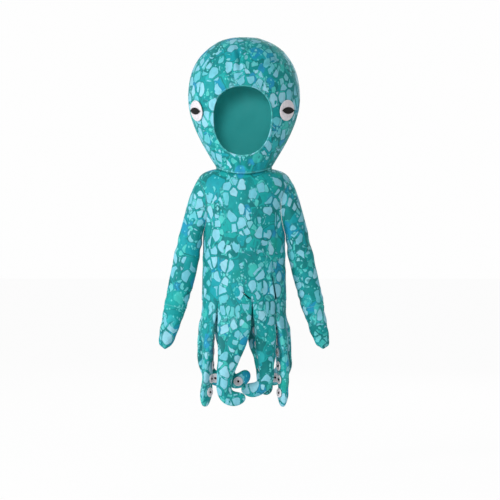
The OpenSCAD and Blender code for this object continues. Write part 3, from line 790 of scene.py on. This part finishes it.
def disc(name, radius, height, edge, segments=64):
    """A flat disc with a soft edge, standing on its back at the origin."""
    bpy.ops.object.select_all(action="DESELECT")
    bpy.ops.mesh.primitive_cylinder_add(vertices=segments, radius=radius, depth=height,
                                        location=(0, 0, height / 2))
    piece = bpy.context.object
    piece.name = name
    bpy.ops.object.transform_apply(location=True, rotation=True, scale=True)
    bpy.ops.object.mode_set(mode="EDIT")
    work = bmesh.from_edit_mesh(piece.data)
    for f in work.faces:
        f.select_set(f.normal.z > 0.9)
    bmesh.update_edit_mesh(piece.data)
    for inset in (edge * 0.5, edge, radius * 0.22, radius * 0.25):
        bpy.ops.mesh.inset(thickness=inset, depth=0)
    bpy.ops.object.mode_set(mode="OBJECT")
    return piece


def shape_disc(piece, radius, profile):
    """Gives the disc's upper side the height profile(share of the radius)."""
    for v in piece.data.vertices:
        if v.co.z > 0.0005:
            v.co.z = profile(math.hypot(v.co.x, v.co.y) / radius)


def place_on_hood(piece, a, lift=0.0, turn=0.0):
    h = math.atan2(sin_d(a) / HOOD_W, cos_d(a) / HOOD_D)
    normal = Vector((math.sin(h), -math.cos(h), 0))
    slope = (hood_at(EYE_Z + 0.001, a) - hood_at(EYE_Z - 0.001, a)).dot(normal) / 0.002
    tilt = math.atan(slope)
    matrix = (Matrix.Translation(hood_at(EYE_Z, a)) @ Matrix.Rotation(h, 4, "Z")
              @ Matrix.Rotation(math.radians(90) + tilt, 4, "X") @ Matrix.Translation((0, 0, lift))
              @ Matrix.Rotation(math.radians(turn), 4, "Z"))
    piece.data.transform(matrix)


def make_eyes():
    for side, a, turn in (("left", EYE_A[0], -6), ("right", EYE_A[1], 3)):
        eye = disc(side + "_eye_disc", EYE_R, EYE_T, 0.003, 72)
        apply(eye, "SUBSURF", levels=2, render_levels=2)
        shape_disc(eye, EYE_R, lambda s: EYE_T * (0.42 + 0.56 * math.sqrt(max(0, 1 - s ** 3.2))))
        place_on_hood(eye, a, -0.0015)
        keep_rest(eye)
        finish_piece(eye, "hood", [side + "_eye_white"], PLUSH)
        ring = [Vector((EYE_R * 0.99 * cos_d(t), EYE_R * 0.99 * sin_d(t), 0.0022))
                for t in steps(0, 360, 72)[:-1]]
        welt = tube_along(side + "_eye_welt", ring, 0.0013, True, across=lambda p: Vector((0, 0, 1)))
        place_on_hood(welt, a)
        keep_rest(welt)
        finish_piece(welt, "hood", [], PLUSH)
        make_pupil(side, a, turn)


def make_pupil(side, a, turn):
    """A pointed black oval of felt, slightly domed."""
    half_w, half_h, rows = 0.0255, 0.0098, []
    for x in steps(-1, 1, 36):
        edge = half_h * (1 - abs(x) ** 2.1) ** 0.9 if abs(x) < 1 else 0
        rows.append([Vector((half_w * x, edge * y,
                             0.0016 * max(0, 1 - y * y) ** 0.5 * max(0, 1 - x * x) ** 0.5))
                     for y in steps(-1, 1, 14)])
    pupil = grid_mesh(side + "_eye_slot", rows)
    face_out(pupil, Vector((0, 0, -1)))
    apply(pupil, "SOLIDIFY", thickness=0.0012, offset=-1)
    place_on_hood(pupil, a, EYE_T * 0.98 - 0.0006, turn)
    keep_rest(pupil)
    finish_piece(pupil, "hood", [side + "_pupil"], FELT)


# ---------------- tunic
# slits cut higher: angle in degrees, top in metres below the neck, half width and slant in degrees
SLITS_UP = ((49, 0.300, 4.2, -8), (12, 0.350, 3.0, -15))
SLIT_SWAY, SLIT_PULL, SLIT_CUT = 34, 9, 0.45      # degrees over which the cloth slants, parts and is cut


def slit_angle(slit, z):
    """Where a slit lies at height z, and how far open it is."""
    angle, top, wide, slant = slit
    open_by = clamp((-z - top) / (HEM_Z - top))
    return angle + slant * (1 - open_by) * ramp((-z - top + 0.10) / 0.10), wide * open_by ** 0.7


def part_at_slits(a, z):
    """Slants the cloth's columns along each slit and draws them apart below its top."""
    for slit in SLITS_UP:
        place, wide = slit_angle(slit, z)
        far = abs(a - slit[0])
        if far < SLIT_SWAY:
            apart = math.copysign(wide * max(0, 1 - far / SLIT_PULL) ** 2, a - slit[0])
            a += (place - slit[0]) * (1 - far / SLIT_SWAY) ** 2 + apart
    return a


def tunic_folds(p):
    """Drape of the tunic: long folds under the arms, creases over the slits and soft waves."""
    a = math.degrees(math.atan2(p.x / HIP_W, -p.y / BODY_D)) % 360
    low = clamp((-p.z - 0.05) / (HEM_Z - 0.05))
    d = soft_waves(Vector((p.x, p.y, p.z * 0.45)), 0.06, 0.0030) * ramp(low * 3)
    side = min(abs(a - 90), abs(a - 270))
    under_arm = bump(side, 34, 22) * bump(-p.z, 0.17, 0.13)
    d += 0.0030 * under_arm * math.sin(math.radians(side) * 17 + 2.2 * noise.noise(p * 9))
    d += 0.0022 * bump(-p.z, 0.27, 0.09) * math.sin(p.z * 105 + p.x * 22 + 3 * noise.noise(p * 8))
    for slit in SLITS_UP:
        place = slit_angle(slit, p.z)[0]
        live = ramp((-p.z - slit[1] + 0.05) / 0.07)
        d += 0.0046 * live * math.exp(-((a - place + 4) / 4) ** 2)
        d -= 0.0042 * live * math.exp(-((a - place - 4) / 4) ** 2)
    return d


def tunic_seams():
    lines = [[tunic(a, 0) for a in steps(0, 360, 120)]]
    for s in (1, -1):
        hole = [armhole(f) for f in steps(0, 360, 120)]
        lines.append([Vector((s * p.x, p.y, p.z)) for p in hole])
        seam = [tunic(90, q) for q in steps(0, TIP_Q, 20)]
        lines.append([Vector((s * p.x, p.y, p.z)) for p in seam])
        seam = [tunic(90, q) for q in steps(PIT_Q, 2, 40)]
        lines.append([Vector((s * p.x, p.y, p.z)) for p in seam])
        lines.append([tunic(180 + s * ZIP_EDGE, q) for q in steps(0, 2, 100)])
    near = [distance_to(line) for line in lines]
    return lambda p: min(f(p) for f in near)


def tunic_rows():
    rows = [(q, 0.0) for q in steps(0, TIP_Q, 16)[:-1]]
    rows += [(mix(TIP_Q, PIT_Q, (1 - cos_d(f)) / 2), ARM_A * sin_d(f)) for f in steps(0, 180, 60)]
    return rows + [(q, 0.0) for q in steps(PIT_Q, 2, 56)[1:]]


def make_tunic():
    seam = tunic_seams()
    panels = (("tunic_front_cloth", -90, 1, 90, -1, 90, "tunic_front_panel", (0.36, 0.40), 0.116),
              ("tunic_back_right_cloth", 90, 1, 180 - ZIP_EDGE, 0, 46,
               "tunic_back_right_panel", (0.17, 0.40), 0.055),
              ("tunic_back_left_cloth", 180 + ZIP_EDGE, 0, 270, -1, 46,
               "tunic_back_left_panel", (0.17, 0.40), 0.055))
    for name, a0, cut0, a1, cut1, n, node, flat, area in panels:
        shares = [j / n for j in range(n + 1)]
        if "front" in name:
            shares += [(slit[0] + side - a0) / (a1 - a0) for slit in SLITS_UP for side in (-0.12, 0.12)]
            shares.sort()
        rows = []
        for q, cut in tunic_rows():
            z = tunic(90, q).z
            angles = [mix(a0 + cut0 * cut, a1 + cut1 * cut, share) for share in shares]
            rows.append([tunic(part_at_slits(a, z) if "front" in name else a, q) for a in angles])
        piece = grid_mesh(name, rows)
        if "front" in name:
            open_slits(piece)
        face_out(piece, Vector((0, 0, -0.2)))
        push(piece, lambda p: tunic_folds(p) * ramp(min(seam(p), HEM_Z + p.z + 0.004) / 0.018)
             - 0.0012 * (1 - ramp(seam(p) / 0.005)))
        apply(piece, "SOLIDIFY", thickness=CLOTH, offset=-1)
        keep_rest(piece, seam)
        finish_piece(piece, "tunic", [node], PRINT)


def open_slits(piece):
    """Takes out the faces that span a slit below its top."""
    work = bmesh.new()
    work.from_mesh(piece.data)
    gone = []
    for f in work.faces:
        c = f.calc_center_median()
        a = math.degrees(math.atan2(c.x / body_wide(c.z), -c.y / BODY_D))
        if any(-c.z > slit[1] and abs(a - slit_angle(slit, c.z)[0]) < SLIT_CUT for slit in SLITS_UP):
            gone.append(f)
    bmesh.ops.delete(work, geom=gone, context="FACES")
    work.to_mesh(piece.data)
    work.free()


def make_neckline():
    line = [tunic(a, 0) for a in steps(-172, 172, 120)]
    line = [Vector((p.x * 0.975, p.y * 0.975, p.z - 0.001)) for p in line]
    edge = tube_along("neckline_edge", line, 0.0042, False, flatten=0.42, sides=12,
                      across=lambda p: Vector((p.x, p.y, 0)).normalized())
    keep_rest(edge, lambda p: 0.0012)
    finish_piece(edge, "tunic", ["neckline_binding"], PRINT)
    low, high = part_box("hang_loop")
    middle = (low + high) / 2
    around = Vector((cos_d(-24), sin_d(-24), 0))
    line = [Vector((middle.x, middle.y, low.z)) + around * 0.0122 * cos_d(t)
            + Vector((0, 0, 1)) * 0.0122 * sin_d(t)
            for t in steps(0, 180, 28)]
    strap = tube_along("hanger_tape", line, 0.0022, False, flatten=0.3, sides=8,
                       across=lambda p: (p - Vector((middle.x, middle.y, low.z))).normalized())
    keep_rest(strap)
    finish_piece(strap, "tunic", ["hang_loop"], LIGHTENED_LINING)


# ---------------- sleeves and mitts
def mirrored(point, side):
    return Vector((-point.x, point.y, point.z)) if side == "left" else point


def sleeve_folds(p, side):
    x = abs(p.x)
    s = clamp((-p.z - 0.03) / 0.37)
    phase = 1.3 if side == "left" else 0.0
    d = soft_waves(Vector((p.x, p.y, p.z * 0.6)), 0.06, 0.0022)
    elbow = bump(s, 0.52, 0.20)
    d += 0.0016 * elbow * math.sin(p.z * 120 + x * 60 + phase + 3 * noise.noise(p * 10))
    wrist_end = bump(s, 0.93, 0.16)
    d += 0.0010 * wrist_end * math.sin(p.z * 190 - x * 70 + phase + 2 * noise.noise(p * 14))
    top = bump(s, 0.10, 0.16)
    d += 0.0014 * top * math.sin(math.atan2(p.y, x - 0.13) * 5 + phase)
    return d


def make_sleeves():
    for side in ("left", "right"):
        out = -1 if side == "left" else 1
        rows = [[mirrored(sleeve_point(s, f), side) for f in steps(0, 360, 72)[:-1]] for s in steps(0, 1, 96)]
        sleeve = grid_mesh(side + "_sleeve_cloth", rows, closed=True)
        face_out(sleeve, Vector((out * 0.16, 0, -0.2)))
        ends = [distance_to([mirrored(sleeve_point(e, f), side) for f in steps(0, 360, 100)]) for e in (0, 1)]
        inner = distance_to([mirrored(sleeve_point(s, 180), side) for s in steps(0, 1, 80)])

        def seam(p, near=(*ends, inner)):
            return min(f(p) for f in near)

        push(sleeve, lambda p: sleeve_folds(p, side) * ramp(min(f(p) for f in ends) / 0.02))
        apply(sleeve, "SOLIDIFY", thickness=CLOTH, offset=-1)
        keep_rest(sleeve, seam)
        blend = ("tunic", side + "_sleeve", (out * 0.122, 0, -0.11), (out * 0.168, 0, -0.125))
        finish_piece(sleeve, blend, [side + "_sleeve", side + "_wrist_elastic"], PRINT)
        make_mitt(side, out)


def lobed(p, e):
    """Draws the mitt's end out into soft finger lobes."""
    rel = p - WRIST
    g = rel.dot(ARM_OUT) / WRIST_W
    reach = ramp((e - 0.090) / 0.034)
    return p + ARM_DOWN * 0.0015 * reach * (math.cos((g - 0.05) * 10) - 0.4)


def make_mitt(side, out):
    rows = []
    for e in steps(0, 0.9, 44) + [0.925, 0.95, 0.97, 0.985, 0.995, 1.0]:
        e *= MITT_L
        rows.append([mirrored(lobed(mitt_point(e, f), e), side) for f in steps(0, 360, 64)[:-1]])
    mitt = grid_mesh(side + "_mitt_cloth", rows, closed=True)
    face_out(mitt, mirrored(WRIST + ARM_DOWN * 0.06, side))
    near_cuff = distance_to([mirrored(mitt_point(0, f), side) for f in steps(0, 360, 90)])
    sides = [distance_to([mirrored(mitt_point(e * MITT_L, f), side) for e in steps(0, 1, 60)])
             for f in (0, 180)]
    push(mitt, lambda p: (soft_waves(p, 0.04, 0.0018) + 0.0006 * math.sin(p.z * 160 + p.y * 90 + out))
         * ramp(near_cuff(p) / 0.02) - 0.0014 * (1 - ramp(near_cuff(p) / 0.005)))
    apply(mitt, "SOLIDIFY", thickness=CLOTH, offset=-1)
    keep_rest(mitt, lambda p: min(near_cuff(p), sides[0](p), sides[1](p)))
    start = mirrored(WRIST + ARM_DOWN * 0.004, side)
    end = mirrored(WRIST + ARM_DOWN * 0.040, side)
    finish_piece(mitt, (side + "_sleeve", side + "_mitt", start, end), [side + "_mitt"], PRINT)


# ---------------- tentacles
def tentacle_folds(p, k, hem):
    d = soft_waves(p + Vector((k, 0, 0)), 0.06, 0.0024)
    d += 0.0006 * math.sin(p.z * 120 + k * 2 + 3 * noise.noise(p * 12))
    return d * ramp(hem / 0.03)


def make_tentacle(k):
    name, arm = ARMS[k], Tentacle(k)
    shares = steps(0, TIP_START, 72) + steps(TIP_START, 1, 22)[1:]
    rows = [[arm.point(t, f) for f in steps(0, 360, 48)[:-1]] for t in shares]
    inward = hem_out(arm.mid) * 0.0016
    rows.insert(0, [p - inward for p in rows[0]])
    rows.insert(0, [p + Vector((0, 0, 0.006)) for p in rows[0]])
    piece = grid_mesh(name + "_tentacle_cloth", rows, closed=True)
    face_out(piece, arm.along(0.3))
    edges = [distance_to([arm.point(t, f) for t in shares]) for f in (0, 180)]
    push(piece, lambda p: tentacle_folds(p, k, -HEM_Z - p.z)
         - 0.0012 * ramp((-HEM_Z - p.z) / 0.02) * (1 - ramp(min(e(p) for e in edges) / 0.004)))
    keep_rest(piece, lambda p: min(e(p) for e in edges))
    body = name + "_tentacle"
    hinge = body_point(arm.mid, -HEM_Z)
    finish_piece(piece, ("tunic", body, hinge, hinge - Vector((0, 0, 0.075))),
                 [name + "_tentacle_skin", name + "_tentacle_stuffing"], PRINT)
    make_suckers(name, arm, body)


def sucker_height(s):
    """A sucker's height at a share of its radius: a raised ring round a low middle."""
    return SUCKER_T * (0.55 + 0.75 * bump(s, 0.78, 0.3) * (s < 0.98) + 0.1 * (s < 0.3))


def make_suckers(name, arm, body):
    discs, dots = [], []
    for i in range(SUCKERS):
        t = LAST_SUCKER - i * SUCKER_PITCH / arm.length
        d = SUCKER_R / arm.length
        rise = arm.inner_face(t + d) - arm.inner_face(t - d)
        slope = math.atan2(-rise.dot(arm.facing(t)), rise.dot(arm.travel(t)))
        place = (Matrix.Translation(arm.inner_face(t)) @ Matrix.Rotation(slope, 4, arm.across(t))
                 @ Matrix.Rotation(math.radians(arm.twist(t)), 4, "Z")
                  @ Matrix.Rotation(math.radians(-90), 4, "X"))
        sucker = disc(f"{name}_sucker_{i + 1}", SUCKER_R, SUCKER_T, 0.0016, 40)
        apply(sucker, "SUBSURF", levels=1, render_levels=1)
        shape_disc(sucker, SUCKER_R, sucker_height)
        sucker.data.transform(place @ Matrix.Translation((0, 0, -0.0004)))
        discs.append(sucker)
        dot = disc(f"{name}_dot_{i + 1}", DOT_R, DOT_T, 0.0006, 24)
        dot.data.transform(place @ Matrix.Translation((0, 0, SUCKER_T * 0.62)))
        dots.append(dot)
    for group_of, label, node, slot, material in ((discs, "_sucker_discs", "_suckers", "white_plush", PLUSH),
                                                  (dots, "_sucker_spots", "_sucker_dots", "black_felt", FELT)):
        bpy.ops.object.select_all(action="DESELECT")
        for piece in group_of:
            piece.select_set(True)
        bpy.context.view_layer.objects.active = group_of[0]
        bpy.ops.object.join()
        joined = bpy.context.object
        joined.name = name + label
        keep_rest(joined)
        finish_piece(joined, body, [name + node], material)


# ---------------- zip
def dress_zip():
    for node, material in (("zip_tapes", TAPE), ("zip_teeth", ZIP_PLASTIC), ("zip_stops", ZIP_METAL),
                           ("zip_slider", ZIP_METAL), ("zip_pull", ZIP_METAL)):
        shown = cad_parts[node]
        shown.data.materials.clear()
        shown.data.materials.append(material)


# ---------------- stage
FLOOR_Z = -0.86


def make_stage():
    bpy.ops.object.select_all(action="DESELECT")
    bpy.ops.mesh.primitive_plane_add(size=60, location=(0, 0, FLOOR_Z))
    floor = bpy.context.object
    floor.name = "studio_floor"
    material = bpy.data.materials.new("studio_white")
    material.use_nodes = True
    n = Nodes(material.node_tree)
    shader = material.node_tree.nodes["Principled BSDF"]
    shader.inputs["Base Color"].default_value = (0.9, 0.9, 0.9, 1)
    shader.inputs["Roughness"].default_value = 0.9
    glow = n.add("ShaderNodeEmission", {"Color": (1, 1, 1, 1), "Strength": 1.0})
    path = n.add("ShaderNodeLightPath")
    direct = n.math("MAXIMUM", path.outputs["Is Camera Ray"], path.outputs["Is Glossy Ray"])
    seen = n.math("MULTIPLY", direct, 0.95)
    join = n.add("ShaderNodeMixShader", {0: seen, 1: shader.outputs[0], 2: glow.outputs[0]})
    output = material.node_tree.nodes["Material Output"]
    material.node_tree.links.new(join.outputs[0], output.inputs["Surface"])
    floor.data.materials.append(material)


def make_world():
    world = bpy.data.worlds.new("studio")
    bpy.context.scene.world = world
    world.use_nodes = True
    n = Nodes(world.node_tree)
    path = n.add("ShaderNodeLightPath")
    seen = n.math("MAXIMUM", n.math("MAXIMUM", path.outputs["Is Camera Ray"], path.outputs["Is Glossy Ray"]),
                  path.outputs["Is Transmission Ray"])
    strength = n.add("ShaderNodeMapRange", {"Value": seen, "To Min": 0.40, "To Max": 0.99}).outputs["Result"]
    back = world.node_tree.nodes["Background"]
    back.inputs["Color"].default_value = (1, 1, 1, 1)
    world.node_tree.links.new(strength, back.inputs["Strength"])


def area_light(name, place, target, size, power_w):
    data = bpy.data.lights.new(name, "AREA")
    data.shape, data.size, data.energy = "DISK", size, power_w
    lamp = bpy.data.objects.new(name, data)
    lamp.location = place
    lamp.rotation_euler = (Vector(target) - Vector(place)).to_track_quat("-Z", "Y").to_euler()
    bpy.context.scene.collection.objects.link(lamp)


def make_lights():
    area_light("key", (-3.4, -2.2, 0.9), (0, 0, -0.1), 1.1, 98)
    area_light("front", (-0.5, -4.6, 0.3), (0, 0, 0), 0.8, 56)
    area_light("back_rim", (0.9, 2.8, 1.4), (0, 0, 0), 2.0, 34)


CAMERA_PLACE, LENS = (0.017, -4.5, -0.234), 113.6


def make_camera():
    data = bpy.data.cameras.new("camera")
    camera = bpy.data.objects.new("camera", data)
    bpy.context.scene.collection.objects.link(camera)
    data.sensor_width, data.lens = 36, LENS
    camera.location = CAMERA_PLACE
    camera.rotation_euler = (math.radians(90), 0, 0)
    data.clip_end = 100
    bpy.context.scene.camera = camera
    bpy.context.scene.view_settings.view_transform = "Standard"


make_camera()
make_world()
make_lights()
make_stage()
make_hood()
make_hood_lining()
make_hood_trim()
make_eyes()
make_tunic()
make_neckline()
make_sleeves()
for index in range(len(ARMS)):
    make_tentacle(index)
dress_zip()
